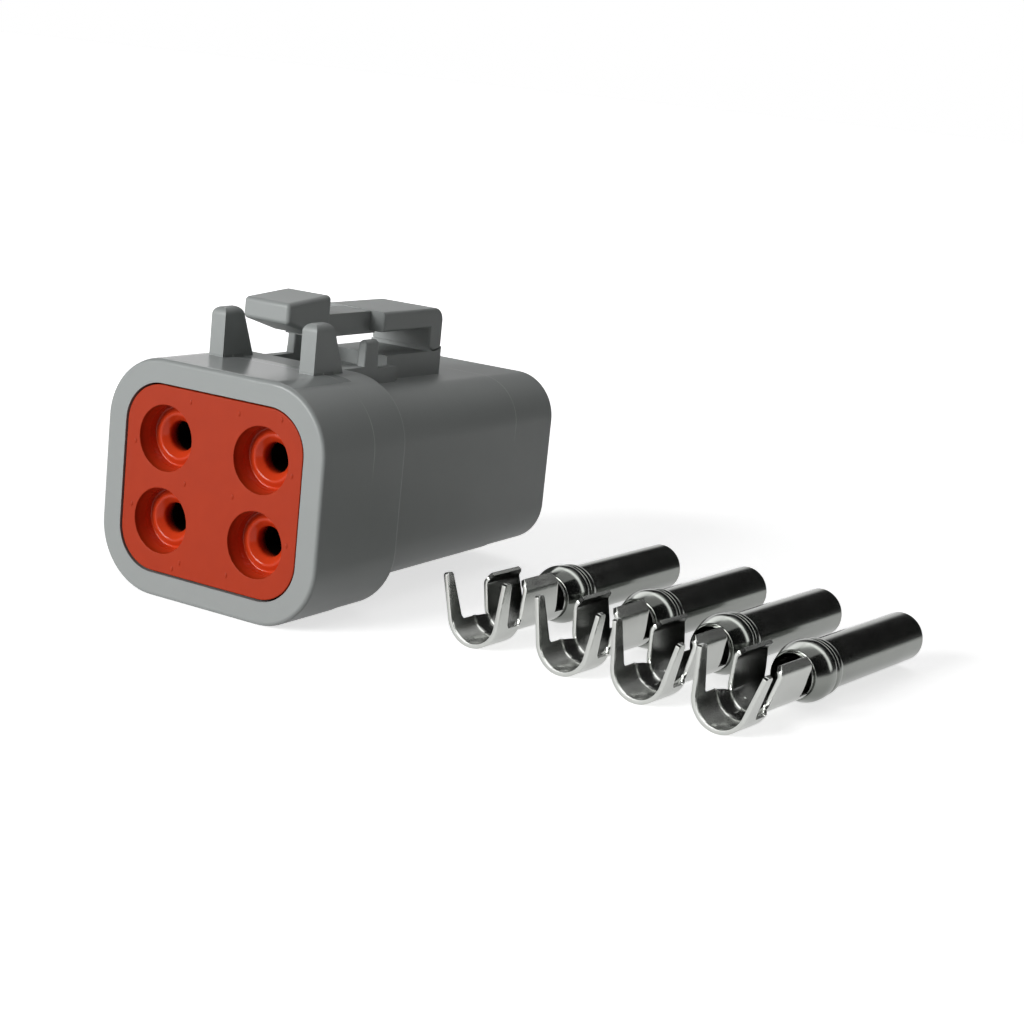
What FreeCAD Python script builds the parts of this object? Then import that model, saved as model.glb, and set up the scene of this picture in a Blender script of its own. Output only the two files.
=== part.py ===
import FreeCAD, Part
import math
import os

# Sealed four-way plug with its rear wire seal, latch, interface seal and wedge lock,
# and its four crimp contacts lying beside it. Millimetres.
# Origin: centre of the wire-side face. +Y is the mating direction and +Z is up.

V = FreeCAD.Vector

# Cavities
PITCH_X = 12.04
PITCH_Z = 8.45
CAVITY_RADIUS = 2.65
CAVITY_REAR_RADIUS = 3.1
CAVITY_STEP_Y = 21.5
CAVITIES = [(sx * PITCH_X / 2, sz * PITCH_Z / 2) for sz in (1, -1) for sx in (-1, 1)]

# Rear section, round the wire seal
REAR_WIDTH = 27.3
REAR_HEIGHT = 24.26
REAR_RADIUS = 6.84
REAR_LENGTH = 13.9
REAR_WALL = 2.44
PARTING_Y = 8.3
PARTING_STEP = 0.06
EDGE_ROUND = 0.45

# Front section, which goes into the mating half
OVERALL_LENGTH = 46.8
SHOULDER = 2.0
FRONT_RADIUS = 5.0
DRAFT_SIDE = 0.12
DRAFT_TOP = 0.32
FRONT_STEP_Y = 38.5
FRONT_STEP = 0.07
NOSE_CHAMFER = 0.35
SKIRT_WALL = 1.15
SKIRT_DEPTH = 24.8

# Core that holds the contacts inside the skirt
CORE_WALL = 0.5
CORE_SETBACK = 5.3

# Lock fingers and the slot between the two columns of cavities
SLOT_HALF_WIDTH = 3.2
SLOT_DEPTH = 14.6
SLOT_END_WALL = 1.0
FINGER_THICKNESS = 1.0
FINGER_HEIGHT = 3.4
FINGER_WINDOW_GAP = 0.25
FINGER_TIP_GAP = 2.1
FINGER_ROOT_BITE = 0.2
HOOK_LENGTH = 3.0
HOOK_REACH = 0.65
HOOK_FLAT = 0.4

# Wire seal
SEAL_RECESS = 0.3
SEAL_LENGTH = 8.8
SEAL_GAP = 0.18
SEAL_EDGE_CHAMFER = 0.2
SEAL_RIB_HEIGHT = 0.14
SEAL_RIB_LENGTH = 1.0
SEAL_RIB_AT = (2.2, 5.8)
WIRE_MOUTH_RADIUS = 3.38
WIRE_FLOOR_RADIUS = 3.05
WIRE_FLOOR_DEPTH = 2.1
WIRE_GROOVE = 0.15
WIRE_BEAD_CREST = 0.25
WIRE_BEAD_HALF = 0.32
WIRE_THROAT_DEPTH = 2.7
WIRE_BORE_RADIUS = 1.5

# Interface seal
FACE_SEAL_LENGTH = 4.4
FACE_SEAL_THICKNESS = 0.85
FACE_SEAL_RIB = 0.2
FACE_SEAL_RIB_LENGTH = 0.7
FACE_SEAL_RIB_AT = (0.9, 2.8)
FACE_SEAL_CLEARANCE = 0.05

# Wedge lock
WEDGE_CLEARANCE = 0.15
WEDGE_PLATE = 1.8
WEDGE_EDGE_CHAMFER = 0.3
WEDGE_HOLE_RADIUS = 2.2
WEDGE_TONGUE_LENGTH = 13.2
WEDGE_TIP_CHAMFER = 0.6
WEDGE_WALL = 0.95
WEDGE_END_WALL = 1.5
WEDGE_POCKET_DEPTH = 10.5

# Guard posts, rails and teeth on top
POST_INNER_X = 4.85
POST_WIDTH = 1.8
POST_Y = 6.7
POST_BASE_DEPTH = 4.85
POST_TOP_DEPTH = 2.7
POST_TOP_Z = 17.2
POST_ROUND = 0.85
RAIL_INNER_X = 4.1
RAIL_WIDTH = 1.0
RAIL_START_Y = 10.5
RAIL_TOP_Z = 12.0
RAIL_LOW_Z = 11.7
TOOTH_Y = 17.5
TOOTH_DEPTH = 2.35
TOOTH_TOP_Z = 14.75
TOOTH_ROUND = 0.45
CHANNEL_FLOOR_Z = 11.1

# Latch: pedestal on the housing, and the arm that flexes
LATCH_HALF_WIDTH = 3.84
LATCH_REAR_Y = 22.2
LATCH_FRONT_Y = 33.6
LATCH_TOP_Z = 17.27
LATCH_PLATE = 2.15
LATCH_WALL = 2.5
LATCH_ROUND = 1.5
PEDESTAL_REAR_Y = 23.3
PEDESTAL_TOP_Z = 12.57
PIVOT_Z = 14.5
SEAT_CLEARANCE = 0.03
ARM_HALF_WIDTH = 2.0
ARM_TOP_Z = 17.15
ARM_BOTTOM_Z = 14.8
TAB_HALF_WIDTH = 2.9
TAB_REAR_Y = 6.9
TAB_FRONT_Y = 14.0
TAB_FRONT_TOP_Z = 19.3
TAB_REAR_TOP_Z = 18.7
TAB_REAR_BOTTOM_Z = 16.6
TAB_KNEE_Y = 11.8
TAB_BOTTOM_Z = 15.15
TAB_ROUND = 0.5

# Contacts
CONTACT_LENGTH = 36.4
SHEET = 0.45
GRIP_RADIUS = 3.0
GRIP_LENGTH = 4.2
GRIP_TOP = 6.95
GRIP_SPREAD = 10.0
GRIP_TIP_START = 0.2
GRIP_TIP_END = 2.6
WING_RADIUS = 2.2
WING_START = 5.4
WING_LENGTH = 6.2
WING_TOP = 6.25
WING_SPREAD = 2.0
WING_NOTCH = 0.6
STRAP_OVERLAP = 0.6
STRAP_HEIGHT = 2.3
CHANNEL_SHEET = 0.34
CHANNEL_INSET = 0.03
COLLAR_RADIUS = 3.0
COLLAR_START = 13.3
COLLAR_RIM_RADIUS = 2.7
COLLAR_CREST_START = 15.2
COLLAR_CREST_END = 16.5
GROOVE_START = 16.9
GROOVE_END = 17.2
GROOVE_RADIUS = 2.8
RING_RADIUS = 2.92
RING_END = 18.0
SLEEVE_RADIUS = 2.55
SLEEVE_START = 18.5
SLEEVE_WALL = 0.3
SLEEVE_TIP_ROUND = 0.7
SOCKET_RADIUS = 1.25
SOCKET_LIP = 0.4
BARREL_CLEARANCE = 0.03
BARREL_START = 13.0
BARREL_WALL = 0.4
TINE_LENGTH = 9.0
TINE_CONE = 1.5
TINE_SLIT = 0.3

# Where each loose contact lies: x, y of its wire end on the floor, heading and roll in degrees
CONTACT_PLACES = ((25.24, 10.61, 3.36, -3.7), (35.96, 9.62, 3.95, 1.0), (45.14, 7.68, 4.62, 5.6), (54.49, 5.71, 5.24, 10.2))

# Sizes that follow from the ones above
FLOOR_Z = -REAR_HEIGHT / 2
REAR_TOP_Z = REAR_HEIGHT / 2
FRONT_WIDTH = REAR_WIDTH - 2 * SHOULDER
FRONT_TOP_Z = REAR_TOP_Z - SHOULDER
FRONT_BOTTOM_Z = FLOOR_Z + SHOULDER
POCKET_WIDTH = REAR_WIDTH - 2 * REAR_WALL
POCKET_HEIGHT = REAR_HEIGHT - 2 * REAR_WALL
POCKET_RADIUS = REAR_RADIUS - REAR_WALL
POCKET_DEPTH = SEAL_RECESS + SEAL_LENGTH
CORE_WIDTH = PITCH_X + 2 * (CAVITY_RADIUS + CORE_WALL)
CORE_HEIGHT = PITCH_Z + 2 * (CAVITY_RADIUS + CORE_WALL)
CORE_RADIUS = CAVITY_RADIUS + CORE_WALL
CORE_FRONT_Y = OVERALL_LENGTH - CORE_SETBACK
SKIRT_ROOT_Y = OVERALL_LENGTH - SKIRT_DEPTH
SLOT_HALF_HEIGHT = CORE_HEIGHT / 2 - SLOT_END_WALL
FINGER_INNER_X = SLOT_HALF_WIDTH - FINGER_THICKNESS
LATCH_WALL_Y = LATCH_FRONT_Y - LATCH_WALL
LATCH_UNDER_Z = LATCH_TOP_Z - LATCH_PLATE
PIVOT_Y = LATCH_FRONT_Y - LATCH_WALL / 2
SEAT_RADIUS = PIVOT_Z - PEDESTAL_TOP_Z
WING_END = WING_START + WING_LENGTH
BARREL_RADIUS = SLEEVE_RADIUS - SLEEVE_WALL - BARREL_CLEARANCE

# Features are made this much longer than the wall they join or cut
BITE = 1.0


def box(x0, x1, y0, y1, z0, z1):
    return Part.makeBox(x1 - x0, y1 - y0, z1 - z0, V(x0, y0, z0))


def rounded_wire(width, height, radius, y, z_mid=0.0):
    """Rounded rectangle across the connector's axis."""
    w, h = width / 2, height / 2
    k = radius * (1 - math.sqrt(0.5))
    edges = []
    for start, end, middle, after in (
        ((-w + radius, h), (w - radius, h), (w - k, h - k), (w, h - radius)),
        ((w, h - radius), (w, -h + radius), (w - k, -h + k), (w - radius, -h)),
        ((w - radius, -h), (-w + radius, -h), (-w + k, -h + k), (-w, -h + radius)),
        ((-w, -h + radius), (-w, h - radius), (-w + k, h - k), (-w + radius, h)),
    ):
        p, q, r, s = [V(t[0], y, t[1] + z_mid) for t in (start, end, middle, after)]
        edges.append(Part.makeLine(p, q))
        edges.append(Part.Arc(q, r, s).toShape())
    return Part.Wire(edges)


def rounded_bar(width, height, radius, y0, y1, z_mid=0.0):
    return Part.Face(rounded_wire(width, height, radius, y0, z_mid)).extrude(V(0, y1 - y0, 0))


def side_plate(points, x0, x1):
    """Outline of (y, z) points, extruded across the connector."""
    wire = Part.makePolygon([V(x0, y, z) for y, z in points + points[:1]])
    return Part.Face(wire).extrude(V(x1 - x0, 0, 0))


def turned(points, x=0.0, z=0.0):
    """Closed outline of (radius, y) points, turned round a line along Y."""
    wire = Part.makePolygon([V(x + r, y, z) for r, y in points + points[:1]])
    return Part.Face(wire).revolve(V(x, 0, z), V(0, 1, 0), 360)


def bore(x, z, radius, y0, y1):
    return Part.makeCylinder(radius, y1 - y0, V(x, y0, z), V(0, 1, 0))


def edges_where(shape, test):
    """Edges whose middle point passes the test."""
    return [e for e in shape.Edges if test(e.valueAt((e.FirstParameter + e.LastParameter) / 2))]


def fillet_where(shape, radius, test):
    return shape.makeFillet(radius, edges_where(shape, test))


def chamfer_where(shape, size, test):
    return shape.makeChamfer(size, edges_where(shape, test))


def near(a, b, tolerance=0.02):
    return abs(a - b) < tolerance


def soft_bar(width, height, radius, y0, y1):
    """Rounded bar whose two end edges are rounded in three steps."""
    full = EDGE_ROUND * (1 - math.cos(math.radians(60)))
    part = EDGE_ROUND * (1 - math.cos(math.radians(30)))
    steps = ((EDGE_ROUND, 0.0), (full, part), (part, full), (0.0, EDGE_ROUND))
    rings = [(y0 + depth, inset) for inset, depth in steps]
    rings += [(y1 - depth, inset) for inset, depth in reversed(steps)]
    wires = [rounded_wire(width - 2 * inset, height - 2 * inset, radius - inset, y) for y, inset in rings]
    return Part.makeLoft(wires, True, True)


def rear_section():
    """Two lengths that differ by the mould's parting step."""
    back = soft_bar(REAR_WIDTH, REAR_HEIGHT, REAR_RADIUS, 0, PARTING_Y + EDGE_ROUND)
    back = back.common(box(-REAR_WIDTH, REAR_WIDTH, -BITE, PARTING_Y, -REAR_HEIGHT, REAR_HEIGHT))
    inset = 2 * PARTING_STEP
    front = soft_bar(REAR_WIDTH - inset, REAR_HEIGHT - inset, REAR_RADIUS - PARTING_STEP,
                     PARTING_Y - BITE, REAR_LENGTH)
    return back.fuse(front)


def front_wire(y, inset):
    """Section of the drafted front part at y."""
    t = (y - REAR_LENGTH) / (OVERALL_LENGTH - REAR_LENGTH)
    width = FRONT_WIDTH - 2 * (DRAFT_SIDE * t + inset)
    top = FRONT_TOP_Z - DRAFT_TOP * t - inset
    bottom = FRONT_BOTTOM_Z + DRAFT_SIDE * t + inset
    return rounded_wire(width, top - bottom, FRONT_RADIUS - inset, y, (top + bottom) / 2)


def front_section():
    root = Part.makeLoft([front_wire(REAR_LENGTH - BITE, 0), front_wire(FRONT_STEP_Y, 0)], True, True)
    nose = Part.makeLoft([front_wire(FRONT_STEP_Y - BITE, FRONT_STEP), front_wire(OVERALL_LENGTH, FRONT_STEP)],
                         True, True)
    nose = chamfer_where(nose, NOSE_CHAMFER, lambda p: near(p.y, OVERALL_LENGTH))
    return root.fuse(nose)


def skirt_cut():
    """Space between the skirt and the core, which takes the mating half's wall."""
    top = FRONT_TOP_Z - DRAFT_TOP - SKIRT_WALL
    bottom = FRONT_BOTTOM_Z + DRAFT_SIDE + SKIRT_WALL
    width = FRONT_WIDTH - 2 * (DRAFT_SIDE + SKIRT_WALL)
    hollow = rounded_bar(width, top - bottom, FRONT_RADIUS - SKIRT_WALL, SKIRT_ROOT_Y,
                         OVERALL_LENGTH + BITE, (top + bottom) / 2)
    core = rounded_bar(CORE_WIDTH, CORE_HEIGHT, CORE_RADIUS, SKIRT_ROOT_Y - BITE, CORE_FRONT_Y)
    return hollow.cut(core)


def lock_finger(side, z):
    """One cantilever finger with its hook, which reaches into the cavity."""
    tip = CORE_FRONT_Y - FINGER_TIP_GAP
    root = CORE_FRONT_Y - SLOT_DEPTH - FINGER_ROOT_BITE
    half = FINGER_HEIGHT / 2
    crest = SLOT_HALF_WIDTH + HOOK_REACH
    outline = [(FINGER_INNER_X, root), (SLOT_HALF_WIDTH, root), (SLOT_HALF_WIDTH, tip - HOOK_LENGTH),
               (crest, tip - HOOK_FLAT), (crest, tip), (FINGER_INNER_X, tip)]
    wire = Part.makePolygon([V(side * x, y, z - half) for x, y in outline + outline[:1]])
    return Part.Face(wire).extrude(V(0, 0, 2 * half))


def core_slot():
    """Room for the wedge lock's tongue, opened into each cavity beside its finger."""
    back, front = CORE_FRONT_Y - SLOT_DEPTH, CORE_FRONT_Y + BITE
    slot = box(-SLOT_HALF_WIDTH, SLOT_HALF_WIDTH, back, front, -SLOT_HALF_HEIGHT, SLOT_HALF_HEIGHT)
    window = FINGER_HEIGHT / 2 + FINGER_WINDOW_GAP
    for x, z in CAVITIES:
        x0, x1 = sorted((x, math.copysign(FINGER_INNER_X, x)))
        slot = slot.fuse(box(x0, x1, back, front, z - window, z + window))
    return slot


def post(side):
    """Guard post beside the thumb tab, upright at the back and sloped in front."""
    base = REAR_TOP_Z - BITE
    points = [(POST_Y, base), (POST_Y, POST_TOP_Z), (POST_Y + POST_TOP_DEPTH, POST_TOP_Z),
              (POST_Y + POST_BASE_DEPTH, REAR_TOP_Z), (POST_Y + POST_BASE_DEPTH, base)]
    x0, x1 = sorted((side * POST_INNER_X, side * (POST_INNER_X + POST_WIDTH)))
    solid = side_plate(points, x0, x1)
    return fillet_where(solid, POST_ROUND, lambda p: near(p.z, POST_TOP_Z))


def rail_and_tooth(side):
    """Rail from the post to the pedestal, with an upright tooth before its lower length."""
    x0, x1 = sorted((side * RAIL_INNER_X, side * (RAIL_INNER_X + RAIL_WIDTH)))
    base = FRONT_TOP_Z - BITE
    rail = box(x0, x1, RAIL_START_Y, TOOTH_Y + TOOTH_DEPTH / 2, base, RAIL_TOP_Z)
    low = box(x0, x1, TOOTH_Y, PEDESTAL_REAR_Y, base, RAIL_LOW_Z)
    tooth = box(x0, x1, TOOTH_Y, TOOTH_Y + TOOTH_DEPTH, base, TOOTH_TOP_Z)
    tooth = fillet_where(tooth, TOOTH_ROUND, lambda p: near(p.z, TOOTH_TOP_Z))
    return rail.fuse([low, tooth])


def pivot_round(radius, half_width):
    return Part.makeCylinder(radius, 2 * half_width, V(-half_width, PIVOT_Y, PIVOT_Z), V(1, 0, 0))


def pedestal():
    """Foot of the latch, with the round seat that the arm's wall turns in."""
    base = FRONT_TOP_Z - BITE
    lip = PIVOT_Z - math.sqrt(SEAT_RADIUS ** 2 - (LATCH_WALL / 2) ** 2)
    foot = box(-LATCH_HALF_WIDTH, LATCH_HALF_WIDTH, PEDESTAL_REAR_Y, LATCH_FRONT_Y, base, PEDESTAL_TOP_Z)
    seat = box(-LATCH_HALF_WIDTH, LATCH_HALF_WIDTH, LATCH_WALL_Y, LATCH_FRONT_Y, base, lip)
    channel = box(-RAIL_INNER_X - RAIL_WIDTH / 2, RAIL_INNER_X + RAIL_WIDTH / 2, REAR_LENGTH - BITE,
                  PEDESTAL_REAR_Y + BITE, base, CHANNEL_FLOOR_Z)
    return foot.fuse([seat, channel]).cut(pivot_round(SEAT_RADIUS + SEAT_CLEARANCE, LATCH_HALF_WIDTH + BITE))


def housing_shell():
    body = rear_section().fuse(front_section())
    extras = [pedestal()]
    for side in (-1, 1):
        extras += [post(side), rail_and_tooth(side)]
    body = body.fuse(extras)
    body = body.cut(rounded_bar(POCKET_WIDTH, POCKET_HEIGHT, POCKET_RADIUS, -BITE, POCKET_DEPTH))
    body = body.cut(skirt_cut())
    for x, z in CAVITIES:
        body = body.cut(bore(x, z, CAVITY_RADIUS, POCKET_DEPTH - BITE, CORE_FRONT_Y + BITE))
        body = body.cut(bore(x, z, CAVITY_REAR_RADIUS, POCKET_DEPTH - BITE, CAVITY_STEP_Y))
    body = body.cut(core_slot())
    fingers = [lock_finger(math.copysign(1, x), z) for x, z in CAVITIES]
    return body.fuse(fingers).removeSplitter()


def latch_arm():
    plate = box(-LATCH_HALF_WIDTH, LATCH_HALF_WIDTH, LATCH_REAR_Y, LATCH_FRONT_Y, LATCH_UNDER_Z, LATCH_TOP_Z)
    wall = box(-LATCH_HALF_WIDTH, LATCH_HALF_WIDTH, LATCH_WALL_Y, LATCH_FRONT_Y,
               PIVOT_Z - SEAT_RADIUS, LATCH_TOP_Z)
    keep = pivot_round(SEAT_RADIUS, LATCH_HALF_WIDTH).fuse(
        box(-LATCH_HALF_WIDTH, LATCH_HALF_WIDTH, LATCH_WALL_Y, LATCH_FRONT_Y, PIVOT_Z, LATCH_TOP_Z))
    frame = plate.fuse(wall.common(keep)).removeSplitter()
    frame = fillet_where(frame, LATCH_ROUND, lambda p: near(p.y, LATCH_FRONT_Y) and near(p.z, LATCH_TOP_Z))
    arm = box(-ARM_HALF_WIDTH, ARM_HALF_WIDTH, TAB_FRONT_Y - BITE, LATCH_REAR_Y + BITE, ARM_BOTTOM_Z, ARM_TOP_Z)
    tab = side_plate([(TAB_REAR_Y, TAB_REAR_BOTTOM_Z), (TAB_REAR_Y, TAB_REAR_TOP_Z),
                      (TAB_FRONT_Y, TAB_FRONT_TOP_Z), (TAB_FRONT_Y, TAB_BOTTOM_Z), (TAB_KNEE_Y, TAB_BOTTOM_Z)],
                     -TAB_HALF_WIDTH, TAB_HALF_WIDTH)
    tab = tab.makeFillet(TAB_ROUND, tab.Edges)
    return frame.fuse([arm, tab]).removeSplitter()


def wire_hole(x, z):
    """Dished mouth, bead and bore for one wire."""
    face, end = SEAL_RECESS, SEAL_RECESS + SEAL_LENGTH + BITE
    floor = face + WIRE_FLOOR_DEPTH
    crest = floor - WIRE_BEAD_CREST
    bead = (WIRE_FLOOR_RADIUS + WIRE_BORE_RADIUS) / 2
    return turned([(0, face - BITE), (WIRE_MOUTH_RADIUS, face - BITE), (WIRE_MOUTH_RADIUS, face),
                   (WIRE_FLOOR_RADIUS, floor), (WIRE_FLOOR_RADIUS - WIRE_GROOVE, floor),
                   (bead + WIRE_BEAD_HALF, crest), (bead - WIRE_BEAD_HALF, crest),
                   (WIRE_BORE_RADIUS, face + WIRE_THROAT_DEPTH), (WIRE_BORE_RADIUS, end), (0, end)], x, z)


def rear_wire_seal():
    gap = 2 * SEAL_GAP
    seal = rounded_bar(POCKET_WIDTH - gap, POCKET_HEIGHT - gap, POCKET_RADIUS - SEAL_GAP,
                       SEAL_RECESS, SEAL_RECESS + SEAL_LENGTH)
    seal = chamfer_where(seal, SEAL_EDGE_CHAMFER, lambda p: near(p.y, SEAL_RECESS))
    reach = SEAL_GAP - SEAL_RIB_HEIGHT
    for at in SEAL_RIB_AT:
        y = SEAL_RECESS + at
        seal = seal.fuse(rounded_bar(POCKET_WIDTH - 2 * reach, POCKET_HEIGHT - 2 * reach,
                                     POCKET_RADIUS - reach, y, y + SEAL_RIB_LENGTH))
    for x, z in CAVITIES:
        seal = seal.cut(wire_hole(x, z))
    return seal.removeSplitter()


def core_ring(thickness, y0, y1):
    """Ring that fits round the core."""
    outer, inner = FACE_SEAL_CLEARANCE + thickness, FACE_SEAL_CLEARANCE
    ring = rounded_bar(CORE_WIDTH + 2 * outer, CORE_HEIGHT + 2 * outer, CORE_RADIUS + outer, y0, y1)
    return ring.cut(rounded_bar(CORE_WIDTH + 2 * inner, CORE_HEIGHT + 2 * inner, CORE_RADIUS + inner,
                                y0 - BITE, y1 + BITE))


def interface_seal():
    """Ribbed rubber ring round the root of the core."""
    start = SKIRT_ROOT_Y + FACE_SEAL_CLEARANCE
    seal = core_ring(FACE_SEAL_THICKNESS, start, start + FACE_SEAL_LENGTH)
    for at in FACE_SEAL_RIB_AT:
        y = start + at
        seal = seal.fuse(core_ring(FACE_SEAL_THICKNESS + FACE_SEAL_RIB, y, y + FACE_SEAL_RIB_LENGTH))
    return seal.removeSplitter()


def wedge_lock():
    """Face plate with four holes, and a hollow tongue that backs the lock fingers."""
    back = CORE_FRONT_Y + WEDGE_CLEARANCE
    front = back + WEDGE_PLATE
    tip = back - WEDGE_TONGUE_LENGTH
    plate = rounded_bar(CORE_WIDTH, CORE_HEIGHT, CORE_RADIUS, back, front)
    plate = chamfer_where(plate, WEDGE_EDGE_CHAMFER, lambda p: near(p.y, front))
    half = FINGER_INNER_X - WEDGE_CLEARANCE
    height = SLOT_HALF_HEIGHT - WEDGE_CLEARANCE
    tongue = box(-half, half, tip, back + WEDGE_PLATE / 2, -height, height)
    tongue = chamfer_where(tongue, WEDGE_TIP_CHAMFER, lambda p: near(p.y, tip))
    lock = plate.fuse(tongue)
    for x, z in CAVITIES:
        lock = lock.cut(bore(x, z, WEDGE_HOLE_RADIUS, back - BITE, front + BITE))
    inner = half - WEDGE_WALL
    pocket = height - WEDGE_END_WALL
    return lock.cut(box(-inner, inner, front - WEDGE_POCKET_DEPTH, front + BITE, -pocket, pocket)).removeSplitter()


def crimp_u(radius, top, spread, y0, y1):
    """U of sheet round the contact's axis, with arms that lean out by the spread angle."""
    angle = math.radians(spread)
    sine, cosine = math.sin(angle), math.cos(angle)
    run = (top - COLLAR_RADIUS + radius * sine) / cosine
    inner = radius - SHEET

    def at(r, along, side):
        return V(side * (r * cosine + along * sine), y0, COLLAR_RADIUS - r * sine + along * cosine)

    edges = [Part.Arc(at(radius, 0, -1), V(0, y0, COLLAR_RADIUS - radius), at(radius, 0, 1)).toShape(),
             Part.makeLine(at(radius, 0, 1), at(radius, run, 1)),
             Part.makeLine(at(radius, run, 1), at(inner, run, 1)),
             Part.makeLine(at(inner, run, 1), at(inner, 0, 1)),
             Part.Arc(at(inner, 0, 1), V(0, y0, COLLAR_RADIUS - inner), at(inner, 0, -1)).toShape(),
             Part.makeLine(at(inner, 0, -1), at(inner, run, -1)),
             Part.makeLine(at(inner, run, -1), at(radius, run, -1)),
             Part.makeLine(at(radius, run, -1), at(radius, 0, -1))]
    return Part.Face(Part.Wire(edges)).extrude(V(0, y1 - y0, 0))


def channel_wire(radius, y):
    """Half ring of sheet round the contact's axis, open at the top."""
    inner = radius - CHANNEL_SHEET
    mid = COLLAR_RADIUS
    outer_arc = Part.Arc(V(-radius, y, mid), V(0, y, mid - radius), V(radius, y, mid)).toShape()
    inner_arc = Part.Arc(V(inner, y, mid), V(0, y, mid - inner), V(-inner, y, mid)).toShape()
    return Part.Wire([outer_arc, Part.makeLine(V(radius, y, mid), V(inner, y, mid)),
                      inner_arc, Part.makeLine(V(-inner, y, mid), V(-radius, y, mid))])


def strap(start, end):
    """Low channel between two (radius, y) sections, which joins the crimps and the barrel."""
    full = Part.makeLoft([channel_wire(*start), channel_wire(*end)], True, True)
    reach = start[0] + BITE
    return full.common(box(-reach, reach, start[1] - BITE, end[1] + BITE, -BITE, STRAP_HEIGHT))


def crimps():
    """Insulation grip with tapered arms, wire wings behind it, and the channel along their bottom."""
    wide = 2 * GRIP_RADIUS
    over = GRIP_TOP + BITE
    grip = crimp_u(GRIP_RADIUS, GRIP_TOP, GRIP_SPREAD, 0, GRIP_LENGTH)
    grip_side = side_plate([(0, -BITE), (GRIP_LENGTH, -BITE), (GRIP_LENGTH, STRAP_HEIGHT),
                            (GRIP_TIP_END, GRIP_TOP), (GRIP_TIP_END, over), (GRIP_TIP_START, over),
                            (GRIP_TIP_START, GRIP_TOP), (0, COLLAR_RADIUS)], -wide, wide)
    wings = crimp_u(WING_RADIUS, WING_TOP, WING_SPREAD, WING_START, WING_END)
    wing_side = side_plate([(WING_START, -BITE), (WING_END, -BITE), (WING_END, COLLAR_RADIUS),
                            (WING_END - WING_NOTCH, WING_TOP), (WING_END - WING_NOTCH, over),
                            (WING_START, over)], -wide, wide)
    in_wing = WING_RADIUS - CHANNEL_INSET
    return grip.common(grip_side).fuse([
        wings.common(wing_side),
        strap((GRIP_RADIUS - CHANNEL_INSET, GRIP_LENGTH - STRAP_OVERLAP), (in_wing, WING_START + STRAP_OVERLAP)),
        strap((in_wing, WING_END - STRAP_OVERLAP), (BARREL_RADIUS - CHANNEL_INSET, BARREL_START + STRAP_OVERLAP))])


def barrel():
    """Tube inside the sleeve that narrows to four spring tines."""
    start = CONTACT_LENGTH - SLEEVE_WALL - TINE_LENGTH
    cone = start + TINE_CONE
    end = CONTACT_LENGTH - SLEEVE_WALL - BARREL_CLEARANCE
    inner = BARREL_RADIUS - BARREL_WALL
    waist = SOCKET_RADIUS + BARREL_WALL
    tube = turned([(inner, BARREL_START), (BARREL_RADIUS, BARREL_START), (BARREL_RADIUS, start), (waist, cone),
                   (waist, end), (SOCKET_RADIUS, end), (SOCKET_RADIUS, cone), (inner, start)], 0, COLLAR_RADIUS)
    slit, reach = TINE_SLIT / 2, SLEEVE_RADIUS
    low, high = COLLAR_RADIUS - reach, COLLAR_RADIUS + reach
    tube = tube.cut(box(-slit, slit, cone, CONTACT_LENGTH, low, high))
    return tube.cut(box(-reach, reach, cone, CONTACT_LENGTH, COLLAR_RADIUS - slit, COLLAR_RADIUS + slit))


def socket_contact():
    return crimps().fuse(barrel()).removeSplitter()


def contact_sleeve():
    """Drawn tube over the barrel, with its rounded collar, groove and closed-in tip."""
    inner = SLEEVE_RADIUS - SLEEVE_WALL
    tip, corner = CONTACT_LENGTH, SLEEVE_TIP_ROUND
    mouth = SOCKET_RADIUS + SOCKET_LIP
    points = [(inner, COLLAR_START), (COLLAR_RIM_RADIUS, COLLAR_START),
              (COLLAR_RADIUS - 0.08, (COLLAR_START + COLLAR_CREST_START) / 2), (COLLAR_RADIUS, COLLAR_CREST_START),
              (COLLAR_RADIUS, COLLAR_CREST_END), (GROOVE_RADIUS, GROOVE_START), (RING_RADIUS, GROOVE_END),
              (RING_RADIUS, RING_END), (SLEEVE_RADIUS, SLEEVE_START), (SLEEVE_RADIUS, tip - corner),
              (SLEEVE_RADIUS - 0.3 * corner, tip - 0.3 * corner), (SLEEVE_RADIUS - corner, tip),
              (mouth, tip), (mouth, tip - SLEEVE_WALL), (inner, tip - SLEEVE_WALL)]
    return turned(points, 0, COLLAR_RADIUS)


def lay(shape, place):
    """Put a contact on the floor with its heading, rolled about its own axis."""
    x, y, heading, roll = place
    shape = shape.copy()
    shape.rotate(V(0, 0, COLLAR_RADIUS), V(0, 1, 0), roll)
    shape.rotate(V(0, 0, 0), V(0, 0, 1), -heading)
    shape.translate(V(x, y, FLOOR_Z))
    return shape


def make_parts():
    parts = {
        "housing_shell": housing_shell(),
        "latch_arm": latch_arm(),
        "rear_wire_seal": rear_wire_seal(),
        "interface_seal": interface_seal(),
        "wedge_lock": wedge_lock(),
    }
    contact, sleeve = socket_contact(), contact_sleeve()
    for number, place in enumerate(CONTACT_PLACES, 1):
        parts[f"socket_contact_{number}"] = lay(contact, place)
        parts[f"contact_sleeve_{number}"] = lay(sleeve, place)
    return parts


os.makedirs("parts", exist_ok=True)
for name, shape in make_parts().items():
    shape.exportStep(f"parts/{name}.step")
    print(name, "solids", len(shape.Solids), "valid", shape.isValid(), "volume", round(shape.Volume, 1))
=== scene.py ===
import math

import bmesh
import bpy
from mathutils import Matrix, Vector


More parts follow.
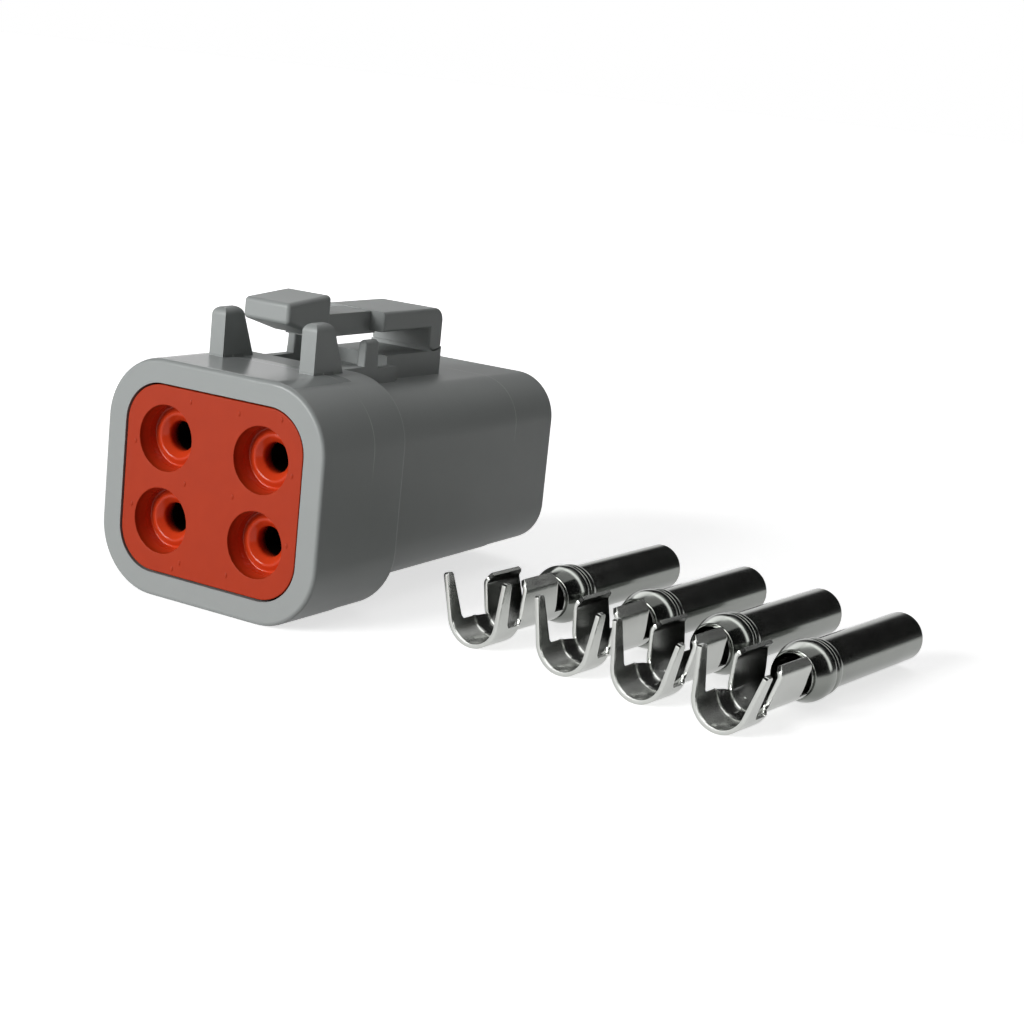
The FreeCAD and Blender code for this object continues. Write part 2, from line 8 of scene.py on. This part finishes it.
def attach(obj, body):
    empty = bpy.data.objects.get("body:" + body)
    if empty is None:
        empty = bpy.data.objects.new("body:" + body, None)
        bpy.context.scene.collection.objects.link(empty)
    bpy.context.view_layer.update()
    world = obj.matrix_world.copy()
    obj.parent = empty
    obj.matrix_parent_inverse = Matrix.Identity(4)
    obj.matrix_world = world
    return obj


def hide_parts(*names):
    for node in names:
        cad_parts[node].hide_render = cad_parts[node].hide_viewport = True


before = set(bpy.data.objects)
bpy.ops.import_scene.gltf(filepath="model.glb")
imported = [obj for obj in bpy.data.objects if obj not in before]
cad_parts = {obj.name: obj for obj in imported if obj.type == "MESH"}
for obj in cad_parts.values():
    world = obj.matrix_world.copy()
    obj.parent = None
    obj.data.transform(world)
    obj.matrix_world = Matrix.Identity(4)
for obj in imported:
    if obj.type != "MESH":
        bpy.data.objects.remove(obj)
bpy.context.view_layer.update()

MM = 0.001

# Plug, in millimetres
HOLES = [(side * 6.02, level * 4.225) for level in (1, -1) for side in (-1, 1)]
REAR_HALF_HEIGHT = 12.13
WITNESS_LINES = (8.3, 38.5)
POST_EDGES = ((4.7, 6.8), (6.5, 11.8), 12.2)     # across, along, and above this height
TOOTH_EDGES = ((4.0, 5.2), (17.3, 20.0), 12.1)
POST_ROUND, TOOTH_ROUND, LATCH_ROUND = 0.62, 0.32, 0.3

# Wire seal, in millimetres
SEAL_WIDTH, SEAL_HEIGHT, SEAL_CORNER = 22.06, 19.02, 4.22
SEAL_FACE, SEAL_BACK, SEAL_EDGE = 0.1, 9.1, 0.1
SEAL_RIBS, RIB_WIDTH, RIB_HEIGHT = (2.5, 6.1), 1.0, 0.14
SEAL_PIPS = ((-3.1, 8.4), (3.0, 8.3), (8.2, 8.6), (-9.9, 3.3), (-3.2, 0.1), (2.9, 0.0), (9.9, 3.4),
             (-9.9, -3.2), (-3.2, -8.0), (-4.1, -8.8), (9.9, -3.5), (2.8, -8.0))
PIP_RADIUS, PIP_FORM = 0.24, (0.7, 0.3, 1.3)

# Holes of the seal: radius, depth and ease at the mouth, the wall's foot, the groove, the bead and the bore
DISH_WALL = ((3.36, 0, 0.14), (3.06, 2.1, 0.16), (2.86, 2.12, 0.12), (2.27, 1.75, 0.7), (1.5, 2.5, 0.25))
CUTTER_RADIUS, CUTTER_OVERRUN = 3.5, 1

# Contacts, in millimetres: x and y of the wire end, then heading and roll in degrees
CONTACTS = ((25.24, 10.61, 3.36, -3.7), (35.96, 9.62, 3.95, 1.0), (45.14, 7.68, 4.62, 5.6),
            (54.49, 5.71, 5.24, 10.2))
AXIS_HEIGHT = 3.0
CONTACT_LENGTH = 36.4
SHEET = 0.42
GRIP = (3.0, 10.0)          # radius of the U and lean of its arms in degrees
WIRE_CRIMP = (2.3, 7.0)
BARREL_START = 13.0
BLANK_START, BLANK_LENGTH, BLANK_WIDTH = 0.05, 13.05, 18.6
GRIP_TOP, WING_TOP, WALL_TOP = 6.95, 5.5, 2.15
WING_TURN, WING_LIP = 42.0, 1.1
WELD = 0.004
CONTACT_EASE = 0.05
SLEEVE_RADIUS, SLEEVE_WALL, SLEEVE_MOUTH = 2.55, 0.3, 1.6
COLLAR_START, COLLAR_RIM, COLLAR_CREST = 13.5, 2.42, 3.04
GROOVE_RADIUS, RING_RADIUS = 2.74, 2.91

# Colours
NYLON = (0.268, 0.284, 0.279)
# Painted highlight: the light colour of the witness lines stands in for light caught on their edges
WITNESS_HIGHLIGHT = (0.5, 0.52, 0.5, 1)
SEAL_SKIN = ((0.325, 0.022, 0.001, 1), (0.385, 0.029, 0.002, 1))
# Painted light: the lighter seal colour used deeper than the face, which brightens the dish hollows
# Painted shade: the near-black colour deep in the bores
SEAL_HOLLOW_PAINTED_LIGHT, SEAL_BORE_PAINTED_SHADE = (0.52, 0.042, 0.010, 1), (0.006, 0.004, 0.003, 1)
NICKEL_SHEET, NICKEL_TUBE = (0.46, 0.47, 0.45), (0.22, 0.23, 0.215)

# Table, in metres: the light round the part, and where the grey part of the table begins
GLOW_CENTRE, GLOW_REACH = (0.03, 0.02), (0.04, 0.3)
GREY_PLACE, GREY_WAY, GREY_REACH = (0.123, -0.151), (0.961, 0.276), (0.07, 0.01)

# Camera, in metres
EYE = (0.122937, -0.151205, 0.043126)
EYE_RIGHT, EYE_UP = (0.84771, 0.52063, 0.10165), (-0.19674, 0.13061, 0.97172)
EYE_AHEAD = (-0.49263, 0.84373, -0.21315)
LENS, SENSOR = 70.45, 36.0


# Shader maths

class Link:
    """A node's output that can be used in sums."""

    def __init__(self, nodes, output):
        self.nodes, self.output = nodes, output

    def maths(self, operation, first, second=0.0):
        return self.nodes.add("ShaderNodeMath", 0, {"operation": operation}, _0=first, _1=second)

    def __add__(self, other):
        return self.maths("ADD", self, other)

    def __radd__(self, other):
        return self.maths("ADD", other, self)

    def __sub__(self, other):
        return self.maths("SUBTRACT", self, other)

    def __rsub__(self, other):
        return self.maths("SUBTRACT", other, self)

    def __mul__(self, other):
        return self.maths("MULTIPLY", self, other)

    def __rmul__(self, other):
        return self.maths("MULTIPLY", other, self)

    def __pow__(self, other):
        return self.maths("POWER", self, other)

    def __abs__(self):
        return self.maths("ABSOLUTE", self)

    def highest(self, other):
        return self.maths("MAXIMUM", self, other)


class Nodes:
    """A node tree whose nodes all come from add."""

    def __init__(self, tree):
        self.tree = tree

    def add(self, kind, output, settings=None, **inputs):
        """New node: its settings, then its sockets by name, or by number as _0. Gives one output."""
        node = self.tree.nodes.new(kind)
        for key, value in (settings or {}).items():
            setattr(node, key, value)
        for key, value in inputs.items():
            numbered = key[1:].isdigit()
            socket = node.inputs[int(key[1:])] if numbered else node.inputs[key.replace("_", " ")]
            if isinstance(value, Link):
                self.tree.links.new(value.output, socket)
            else:
                socket.default_value = value
        return None if output is None else Link(self, node.outputs[output])

    def step(self, link, low, high):
        """0 below low and 1 above high, smooth between, or the other way round."""
        return self.add("ShaderNodeMapRange", "Result", {"interpolation_type": "SMOOTHSTEP"},
                        Value=link, From_Min=low, From_Max=high)

    def mix(self, mask, first, second):
        """Colour that goes from the first to the second with the mask."""
        return self.add("ShaderNodeMix", 2, {"data_type": "RGBA"}, _0=mask, _6=first, _7=second)

    def rays(self, *kinds):
        """1 for rays of the kinds named."""
        found = [self.add("ShaderNodeLightPath", f"Is {kind} Ray") for kind in kinds]
        return sum(found[1:], found[0])


class Finish(Nodes):
    """A material on one Principled shader."""

    def __init__(self, name, **constants):
        self.material = bpy.data.materials.new(name)
        self.material.use_nodes = True
        super().__init__(self.material.node_tree)
        self.shader = self.tree.nodes["Principled BSDF"]
        for socket, value in constants.items():
            self.shader.inputs[socket.replace("_", " ")].default_value = value
        self.place = self.add("ShaderNodeTexCoord", "Object")

    def feed(self, socket, link):
        self.tree.links.new(link.output, self.shader.inputs[socket])

    def noise(self, scale, detail=3.0, stretch=(1, 1, 1)):
        where = self.add("ShaderNodeMapping", "Vector", Vector=self.place, Scale=stretch)
        return self.add("ShaderNodeTexNoise", "Fac", Vector=where, Scale=scale, Detail=detail)

    def axis(self, letter):
        return self.add("ShaderNodeSeparateXYZ", letter, Vector=self.place)

    def line(self, link, place, width):
        """1 on a thin line at the place."""
        return self.step(abs(link - place), width, width * 0.4)

    def bump(self, height, distance):
        relief = self.add("ShaderNodeBump", "Normal", Height=height, Distance=distance, Strength=1.0)
        self.feed("Normal", relief)


def grey(value):
    return (value, value, value, 1.0)


def tint(colour, factor):
    return tuple(part * factor for part in colour) + (1,)


def grey_plastic(name):
    """Moulded grey nylon: glossy on top at the rear, finely matt elsewhere, with witness lines painted light
    as a painted highlight on their edges.
    """
    finish = Finish(name, IOR=1.5)
    mottle, cloud = finish.noise(260, 4), finish.noise(45, 3)
    y, z = finish.axis("Y"), finish.axis("Z")
    colour = finish.mix(mottle * 0.5 + cloud * 0.5, tint(NYLON, 0.94), tint(NYLON, 1.06))
    # Painted highlight: thin light lines at the witness lines, broken by noise, faded out low on the sides
    # and kept below the posts
    first, second = (finish.line(y, place * MM, 0.12 * MM) for place in WITNESS_LINES)
    below_the_posts = finish.step(z, 12.4 * MM, 12.2 * MM)
    highlight_gaps = finish.step(finish.noise(160, 2), 0.28, 0.48) * finish.step(z, 2 * MM, 6 * MM) * below_the_posts
    finish.feed("Base Color", finish.mix(first.highest(second) * highlight_gaps, colour, WITNESS_HIGHLIGHT))
    rear_top = finish.step(z, 11.3 * MM, 11.9 * MM) * finish.step(z, 12.5 * MM, 12.3 * MM)
    polished = rear_top * finish.step(y, 10.4 * MM, 9.8 * MM)
    finish.feed("Roughness", 0.42 - polished * 0.23 + finish.noise(150, 4) * 0.08)
    finish.bump(finish.noise(3500, 3) * (1.0 - polished * 0.8), 0.003 * MM)
    return finish.material


def silicone(name):
    """Orange-red silicone, with painted light making it brighter in the hollows, glossier there, and painted
    shade making it nearly black deep in the bores.
    """
    finish = Finish(name, IOR=1.42, Specular_IOR_Level=0.3)
    y = finish.axis("Y")
    skin = finish.mix(finish.noise(420, 4), *SEAL_SKIN)
    # Painted light: lighter more than 0.9 mm behind the face, brightening the dish hollows
    skin = finish.mix(finish.step(y, 0.2 * MM, 0.9 * MM), skin, SEAL_HOLLOW_PAINTED_LIGHT)
    # Painted shade: nearly black deep in the bores
    finish.feed("Base Color", finish.mix(finish.step(y, 2.7 * MM, 3.9 * MM), skin, SEAL_BORE_PAINTED_SHADE))
    finish.feed("Roughness", 0.44 - finish.step(y, 0.8 * MM, 1.8 * MM) * 0.30 + finish.noise(300, 3) * 0.1)
    finish.bump(finish.noise(2600, 3), 0.004 * MM)
    return finish.material


def bright_plate(name, shade, rough):
    """Nickel plate with faint drawing lines along the contact."""
    finish = Finish(name, Metallic=1.0)
    streak = finish.noise(1800, 4, (1, 0.06, 1))
    cloud = finish.noise(400, 3)
    finish.feed("Base Color", finish.mix(cloud, tint(shade, 0.86), tint(shade, 1.0)))
    finish.feed("Roughness", rough + streak * 0.06 + cloud * 0.05)
    finish.bump(streak * 0.6 + finish.noise(700, 3) * 0.4, 0.005 * MM)
    return finish.material


# Making and placing

def stored(name, bm):
    """Mesh of a bmesh, which is freed."""
    mesh = bpy.data.meshes.new(name)
    bm.to_mesh(mesh)
    bm.free()
    return mesh


def placed(name, bm):
    """Object of a bmesh, in the scene."""
    item = bpy.data.objects.new(name, stored(name, bm))
    bpy.context.scene.collection.objects.link(item)
    return item


def show(name, bm, material, body, node, smooth=38, ease=0.0):
    """Make the piece that stands for the node. Edges sharper than smooth stay crisp, or are eased."""
    for face in bm.faces:
        face.smooth = True
    for edge in bm.edges:
        edge.smooth = bool(ease) or edge.is_manifold and edge.calc_face_angle(0.0) < math.radians(smooth)
    piece = placed(name, bm)
    piece.data.materials.append(material)
    if ease:
        rounds = piece.modifiers.new("eased_edges", "BEVEL")
        rounds.width, rounds.segments, rounds.limit_method = ease * MM, 2, "ANGLE"
        rounds.angle_limit = math.radians(smooth)
    weighted = piece.modifiers.new("even_normals", "WEIGHTED_NORMAL")
    weighted.keep_sharp = True
    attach(piece, body)
    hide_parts(node)


def merged_copy(node):
    """The node's own form with its loose triangles joined into whole faces."""
    bm = bmesh.new()
    bm.from_mesh(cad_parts[node].data)
    bmesh.ops.remove_doubles(bm, verts=bm.verts, dist=0.002 * MM)
    bmesh.ops.dissolve_limit(bm, angle_limit=math.radians(0.5), verts=bm.verts, edges=bm.edges)
    return bm


def soften(bm, radius, across, along=(0, 50), lowest=0.0):
    """Round the sharp edges, on both sides, whose middle lies in the ranges and above the lowest."""
    chosen = []
    for edge in bm.edges:
        middle = (edge.verts[0].co + edge.verts[1].co) / 2 / MM
        if (edge.is_manifold and edge.calc_face_angle(0.0) > math.radians(40) and middle.z > lowest
                and across[0] < abs(middle.x) < across[1] and along[0] < middle.y < along[1]):
            chosen.append(edge)
    bmesh.ops.bevel(bm, geom=chosen, offset=radius * MM, segments=4, profile=0.5, affect="EDGES",
                    clamp_overlap=True, material=-1)


def turned(profile, steps=72):
    """Closed (radius, y) outline spun round the Y axis."""
    bm = bmesh.new()
    points = [bm.verts.new((radius * MM, y * MM, 0)) for radius, y in profile]
    edges = [bm.edges.new((a, b)) for a, b in zip(points, points[1:] + points[:1])]
    bmesh.ops.spin(bm, geom=points + edges, cent=(0, 0, 0), axis=(0, 1, 0), angle=math.tau,
                   steps=steps, use_merge=True)
    bmesh.ops.remove_doubles(bm, verts=bm.verts, dist=0.001 * MM)
    bmesh.ops.recalc_face_normals(bm, faces=bm.faces)
    return bm


def rounded(points, steps=4):
    """Outline of (x, y, ease) points, each corner eased by its own reach."""
    out = []
    for i, (x, y, ease) in enumerate(points):
        here = Vector((x, y))
        before = Vector(points[i - 1][:2]) - here
        after = Vector(points[(i + 1) % len(points)][:2]) - here
        reach = min(ease, before.length * 0.45, after.length * 0.45)
        if reach < 1e-4:
            out.append(tuple(here))
            continue
        start, end = here + before.normalized() * reach, here + after.normalized() * reach
        for k in range(steps + 1):
            t = k / steps
            out.append(tuple((1 - t) ** 2 * start + 2 * t * (1 - t) * here + t * t * end))
    return out


def rounded_bar(bm, width, height, radius, y0, y1):
    """Bar with rounded corners along Y."""
    start = bmesh.ops.create_grid(bm, x_segments=1, y_segments=1, size=0.5)["verts"]
    bmesh.ops.scale(bm, vec=(width * MM, height * MM, 1), verts=start)
    face = start[0].link_faces[0]
    bmesh.ops.rotate(bm, cent=(0, 0, 0), matrix=Matrix.Rotation(math.radians(90), 3, "X"), verts=start)
    made = bmesh.ops.bevel(bm, geom=list(face.verts), offset=radius * MM, segments=12, profile=0.5,
                           affect="VERTICES", material=-1)
    face = max(made["faces"] + [f for f in bm.faces if f.is_valid], key=lambda f: len(f.verts))
    bmesh.ops.translate(bm, vec=(0, y0 * MM, 0), verts=face.verts)
    raised = bmesh.ops.extrude_face_region(bm, geom=[face])
    far = [v for v in raised["geom"] if isinstance(v, bmesh.types.BMVert)]
    bmesh.ops.translate(bm, vec=(0, (y1 - y0) * MM, 0), verts=far)
    bmesh.ops.recalc_face_normals(bm, faces=bm.faces)


def cut(piece, bm, name):
    """Take the bmesh's form out of the piece."""
    cutter = placed(name, bm)
    take = piece.modifiers.new(name, "BOOLEAN")
    take.operation, take.solver, take.object = "DIFFERENCE", "EXACT", cutter
    graph = bpy.context.evaluated_depsgraph_get()
    graph.update()
    done = bpy.data.meshes.new_from_object(piece.evaluated_get(graph), depsgraph=graph)
    piece.modifiers.remove(take)
    piece.data = done
    bpy.data.objects.remove(cutter)


# Forms of the contacts

def lay(bm, place):
    """Put a contact on the floor, rolled and turned to its heading."""
    x, y, heading, roll = place
    move = (Matrix.Translation(Vector((x, y, -REAR_HALF_HEIGHT)) * MM)
            @ Matrix.Rotation(math.radians(-heading), 4, "Z")
            @ Matrix.Translation(Vector((0, 0, AXIS_HEIGHT)) * MM)
            @ Matrix.Rotation(math.radians(roll), 4, "Y"))
    bmesh.ops.transform(bm, matrix=move, verts=bm.verts)


def share(value, low, high):
    """How far the value lies from low to high, between 0 and 1."""
    return min(1.0, max(0.0, (value - low) / (high - low)))


def eased(value, low, high):
    part = share(value, low, high)
    return part * part * (3 - 2 * part)


def up_to(height, section):
    """Length of sheet from the middle of the U's bottom to a height over the floor."""
    radius, lean = section
    turn = math.radians(90 - lean)
    if height < AXIS_HEIGHT - radius * math.cos(turn):
        return radius * math.acos((AXIS_HEIGHT - height) / radius)
    return radius * turn + (height - AXIS_HEIGHT + radius * math.cos(turn)) / math.sin(turn)


def bent(across, section, lip_start, lip_turn):
    """Place of a point of the blank once the U is bent, and its lips are turned in."""
    radius, lean = section
    x = z = 0.0
    steps = max(1, round(abs(across) / 0.06))
    piece = abs(across) / steps
    for k in range(steps):
        run = piece * (k + 0.5)
        heading = min(run / radius, math.radians(90 - lean))
        heading += math.radians(lip_turn) * eased(run, lip_start - 0.3, lip_start + 0.3)
        x += math.cos(heading) * piece
        z += math.sin(heading) * piece
    return math.copysign(x, across), z - radius


def blank_outline():
    """(y, half width) of the flat blank: crimp arm, channel, wire crimp's wing, channel to the barrel."""
    grip_top, grip_wall = up_to(GRIP_TOP, GRIP), up_to(WALL_TOP, GRIP)
    wing_top, wing_wall = up_to(WING_TOP, WIRE_CRIMP) + WING_LIP, up_to(WALL_TOP, WIRE_CRIMP)
    return [
        (BLANK_START, grip_top - 0.15), (0.3, grip_top), (0.95, grip_top), (1.15, grip_top - 0.25),
        (1.8, grip_wall + 0.4), (2.1, grip_wall), (4.1, grip_wall),
        (5.3, wing_wall), (5.3, up_to(3.0, WIRE_CRIMP)), (5.45, wing_top - 0.5), (5.8, wing_top),
        (10.6, wing_top), (10.95, wing_top - 0.4), (11.4, up_to(3.2, WIRE_CRIMP)), (11.4, wing_wall),
        (BLANK_START + BLANK_LENGTH, wing_wall)]


def is_waste(middle, runs):
    """Whether a face of the blank lies outside the outline."""
    along = [(a, b) for a, b in runs if a[0] <= middle.y <= b[0] and b[0] > a[0]]
    (y0, w0), (y1, w1) = along[0] if along else runs[0]
    return abs(middle.x) > w0 + (w1 - w0) * (middle.y - y0) / (y1 - y0)


def crimp_sheet():
    """Stamped blank of the crimp arms, the wire crimp and the channel between, bent to its U."""
    outline = blank_outline()
    runs = list(zip(outline, outline[1:]))
    bm = bmesh.new()
    bmesh.ops.create_grid(bm, x_segments=60, y_segments=36, size=0.5)
    bmesh.ops.scale(bm, vec=(BLANK_WIDTH, BLANK_LENGTH, 1), verts=bm.verts)
    bmesh.ops.translate(bm, vec=(0, BLANK_START + BLANK_LENGTH / 2, 0), verts=bm.verts)
    for (y0, w0), (y1, w1) in runs:
        for side in (-1, 1):
            bmesh.ops.bisect_plane(bm, geom=bm.verts[:] + bm.edges[:] + bm.faces[:], dist=1e-4,
                                   plane_co=(side * w0, y0, 0), plane_no=(y1 - y0, -side * (w1 - w0), 0))
    waste = [face for face in bm.faces if is_waste(face.calc_center_median(), runs)]
    bmesh.ops.delete(bm, geom=waste, context="FACES")
    for vert in bm.verts:
        y = vert.co.y
        to_wire_crimp = eased(y, 3.9, 5.4)
        section = tuple(a + (b - a) * to_wire_crimp for a, b in zip(GRIP, WIRE_CRIMP))
        x, z = bent(vert.co.x, section, up_to(WING_TOP, WIRE_CRIMP), WING_TURN * share(y, 4.5, 5.0))
        vert.co = (x * MM, y * MM, z * MM)
    bmesh.ops.remove_doubles(bm, verts=bm.verts, dist=WELD * MM)
    bmesh.ops.dissolve_degenerate(bm, dist=WELD * MM, edges=bm.edges)
    for face in bm.faces:
        middle = face.calc_center_median()
        if face.normal.dot((middle.x, 0, middle.z)) < 0:
            face.normal_flip()
    bmesh.ops.solidify(bm, geom=bm.faces[:], thickness=SHEET * MM)
    bmesh.ops.recalc_face_normals(bm, faces=bm.faces)
    return stored("crimp_sheet", bm)


def stamped_contact(number, place, sheet, material):
    """Bent crimp end, joined to the node's own barrel and tines."""
    node = f"socket_contact_{number}"
    bm = bmesh.new()
    bm.from_mesh(sheet)
    lay(bm, place)
    front = merged_copy(node)
    x, y, heading, roll = place
    ahead = Vector((math.sin(math.radians(heading)), math.cos(math.radians(heading)), 0))
    wire_end = Vector((x, y, AXIS_HEIGHT - REAR_HALF_HEIGHT)) * MM
    bmesh.ops.bisect_plane(front, geom=front.verts[:] + front.edges[:] + front.faces[:], dist=1e-7,
                           plane_co=wire_end + ahead * (BARREL_START + 0.02) * MM, plane_no=ahead,
                           clear_inner=True)
    bm.from_mesh(stored("barrel", front))
    show(f"stamped_contact_{number}", bm, material, "plug", node, ease=CONTACT_EASE)


def sleeve(number, place, material):
    """Drawn tube with a belled wire end, a crest, a groove and a ring."""
    bore, tip = SLEEVE_RADIUS - SLEEVE_WALL, CONTACT_LENGTH - SLEEVE_WALL
    bm = turned(rounded([
        (bore, COLLAR_START, 0), (COLLAR_RIM, COLLAR_START, 0.08), (COLLAR_CREST, 15.35, 0.9),
        (COLLAR_CREST, 16.5, 0.35), (GROOVE_RADIUS, 16.95, 0.2), (RING_RADIUS, 17.15, 0.15),
        (RING_RADIUS, 17.9, 0.25), (SLEEVE_RADIUS, 18.4, 0.3), (SLEEVE_RADIUS, CONTACT_LENGTH, 0.75),
        (SLEEVE_MOUTH, CONTACT_LENGTH, 0.1), (SLEEVE_MOUTH, tip, 0.1), (bore, tip, 0)]))
    lay(bm, place)
    show(f"drawn_sleeve_{number}", bm, material, "plug", f"contact_sleeve_{number}")


# Form of the wire seal

def dish():
    """Form of a hole: a dish with a groove, a rounded bead and the bore."""
    before, behind = SEAL_FACE - CUTTER_OVERRUN, SEAL_BACK + CUTTER_OVERRUN
    wall = [(radius, SEAL_FACE + depth, ease) for radius, depth, ease in DISH_WALL]
    bore = wall[-1][0]
    return turned(rounded([
        (0, before, 0), (CUTTER_RADIUS, before, 0), (CUTTER_RADIUS, SEAL_FACE, 0), *wall,
        (bore, behind, 0), (0, behind, 0)], 6), 64)


def rib_ring(y):
    """Sealing rib round the block, from y over its width."""
    bm = bmesh.new()
    rounded_bar(bm, SEAL_WIDTH + 2 * RIB_HEIGHT, SEAL_HEIGHT + 2 * RIB_HEIGHT, SEAL_CORNER + RIB_HEIGHT,
                y, y + RIB_WIDTH)
    ends = [f for f in bm.faces if abs(f.normal.y) > 0.9]
    bmesh.ops.delete(bm, geom=ends, context="FACES_ONLY")
    return stored("rib", bm)


def wire_seal(material):
    """Seal with four dished holes, two ribs round it and small pips on its face."""
    bm = bmesh.new()
    rounded_bar(bm, SEAL_WIDTH, SEAL_HEIGHT, SEAL_CORNER, SEAL_FACE, SEAL_BACK)
    rim = [e for e in bm.edges if all(abs(v.co.y - SEAL_FACE * MM) < 1e-6 for v in e.verts)]
    bmesh.ops.bevel(bm, geom=rim, offset=SEAL_EDGE * MM, segments=3, profile=0.5, affect="EDGES", material=-1)
    block = placed("seal_block", bm)
    for number, (x, z) in enumerate(HOLES, 1):
        cutter = dish()
        bmesh.ops.translate(cutter, vec=(x * MM, 0, z * MM), verts=cutter.verts)
        cut(block, cutter, f"dish_{number}")
    bm = bmesh.new()
    bm.from_mesh(block.data)
    bpy.data.objects.remove(block)
    for y in SEAL_RIBS:
        bm.from_mesh(rib_ring(y))
    for x, z in SEAL_PIPS:
        pip = bmesh.ops.create_icosphere(bm, subdivisions=2, radius=PIP_RADIUS * MM)["verts"]
        bmesh.ops.scale(bm, vec=PIP_FORM, verts=pip)
        bmesh.ops.translate(bm, vec=(x * MM, SEAL_FACE * MM, z * MM), verts=pip)
    show("silicone_wire_seal", bm, material, "plug", "rear_wire_seal", 32)


# Table, room and lamps

def stage_floor():
    """Pale table. It is white where the photograph's frame sees it, also in the gloss of the parts."""
    bm = bmesh.new()
    bmesh.ops.create_grid(bm, x_segments=1, y_segments=1, size=6)
    bmesh.ops.translate(bm, vec=(0, 0, -REAR_HALF_HEIGHT * MM), verts=bm.verts)
    table = placed("table", bm)
    finish = Finish("pale_table", Base_Color=grey(0.85), Roughness=0.7, Emission_Strength=1.0)
    x, y = finish.axis("X"), finish.axis("Y")
    across, along = x - GLOW_CENTRE[0], y - GLOW_CENTRE[1]
    away = (across * across + along * along) ** 0.5
    beside = (x - GREY_PLACE[0]) * GREY_WAY[0] + (y - GREY_PLACE[1]) * GREY_WAY[1]
    glow = (0.66 + finish.step(away, *GLOW_REACH) * 0.34) * finish.step(beside, *GREY_REACH)
    finish.feed("Emission Color", finish.mix(glow, grey(0.0), grey(1.0)))
    dull = finish.add("ShaderNodeBsdfDiffuse", 0, Color=grey(0.45))
    seen = finish.rays("Camera", "Glossy", "Transmission")
    whole = finish.add("ShaderNodeMixShader", 0, _0=seen, _1=dull, _2=Link(finish, finish.shader.outputs[0]))
    finish.tree.links.new(whole.output, finish.tree.nodes["Material Output"].inputs[0])
    table.data.materials.append(finish.material)


def surroundings():
    """White backdrop low on the left, a bright hoop over the collars, a dark room and an even fill."""
    world = bpy.data.worlds.new("studio")
    bpy.context.scene.world = world
    world.use_nodes = True
    world.node_tree.nodes.clear()
    room = Nodes(world.node_tree)
    way = room.add("ShaderNodeTexCoord", "Generated")
    side, ahead, rise = (room.add("ShaderNodeSeparateXYZ", letter, _0=way) for letter in "XYZ")
    mirror = room.rays("Glossy", "Transmission")
    backdrop = room.step(rise, 0.36, 0.24) * room.step(side, 0.2, -0.15)
    hoop = room.step(ahead, 0.48, 0.54) * room.step(ahead, 0.73, 0.65) * room.step(rise, -0.05, 0.2)
    low_right = room.step(rise, 0.2, 0.0) * room.step(side, 0.2, 0.4)
    dark = room.mix(low_right, grey(0.018), grey(0.12))
    dim = room.mix(mirror, grey(0.155), room.mix(hoop, dark, grey(2.8)))
    light = room.mix(room.rays("Camera").highest(mirror * backdrop), dim, grey(1.0))
    shade = room.add("ShaderNodeBackground", 0, Color=light, Strength=1.0)
    room.add("ShaderNodeOutputWorld", None, Surface=shade)


def softbox(name, place, target, size, watts):
    light = bpy.data.lights.new(name, "AREA")
    light.shape, light.size, light.energy = "SQUARE", size, watts
    lamp = bpy.data.objects.new(name, light)
    lamp.location = place
    lamp.rotation_euler = (Vector(target) - Vector(place)).to_track_quat("-Z", "Y").to_euler()
    bpy.context.scene.collection.objects.link(lamp)


def camera():
    lens = bpy.data.cameras.new("camera")
    lens.lens, lens.sensor_width, lens.clip_start = LENS, SENSOR, 0.005
    eye = bpy.data.objects.new("camera", lens)
    turn = Matrix((EYE_RIGHT, EYE_UP, tuple(-part for part in EYE_AHEAD))).transposed()
    eye.matrix_world = Matrix.Translation(EYE) @ turn.to_4x4()
    bpy.context.scene.collection.objects.link(eye)
    bpy.context.scene.camera = eye


def make():
    camera()
    plastic, lock_plastic = grey_plastic("grey_nylon"), grey_plastic("wedge_nylon")
    red = silicone("orange_silicone")
    sheet = bright_plate("nickel_sheet", NICKEL_SHEET, 0.17)
    tube = bright_plate("nickel_tube", NICKEL_TUBE, 0.10)
    shell = merged_copy("housing_shell")
    soften(shell, POST_ROUND, *POST_EDGES)
    soften(shell, TOOTH_ROUND, *TOOTH_EDGES)
    show("moulded_shell", shell, plastic, "plug", "housing_shell")
    latch = merged_copy("latch_arm")
    soften(latch, LATCH_ROUND, (3.8, 5.0))
    show("snap_latch", latch, plastic, "latch", "latch_arm")
    show("ribbed_face_seal", merged_copy("interface_seal"), red, "plug", "interface_seal")
    show("face_wedge", merged_copy("wedge_lock"), lock_plastic, "wedge", "wedge_lock")
    wire_seal(red)
    crimp = crimp_sheet()
    for number, place in enumerate(CONTACTS, 1):
        stamped_contact(number, place, crimp, sheet)
        sleeve(number, place, tube)
    stage_floor()
    surroundings()
    softbox("key", (-0.34, -0.97, 0.33), (0.01, 0.02, 0), 0.5, 12.4)
    softbox("top_back", (0.1, 0.53, 0.85), (0.04, 0.03, 0), 0.8, 1.2)


make()
bpy.context.scene.view_settings.view_transform = "Standard"
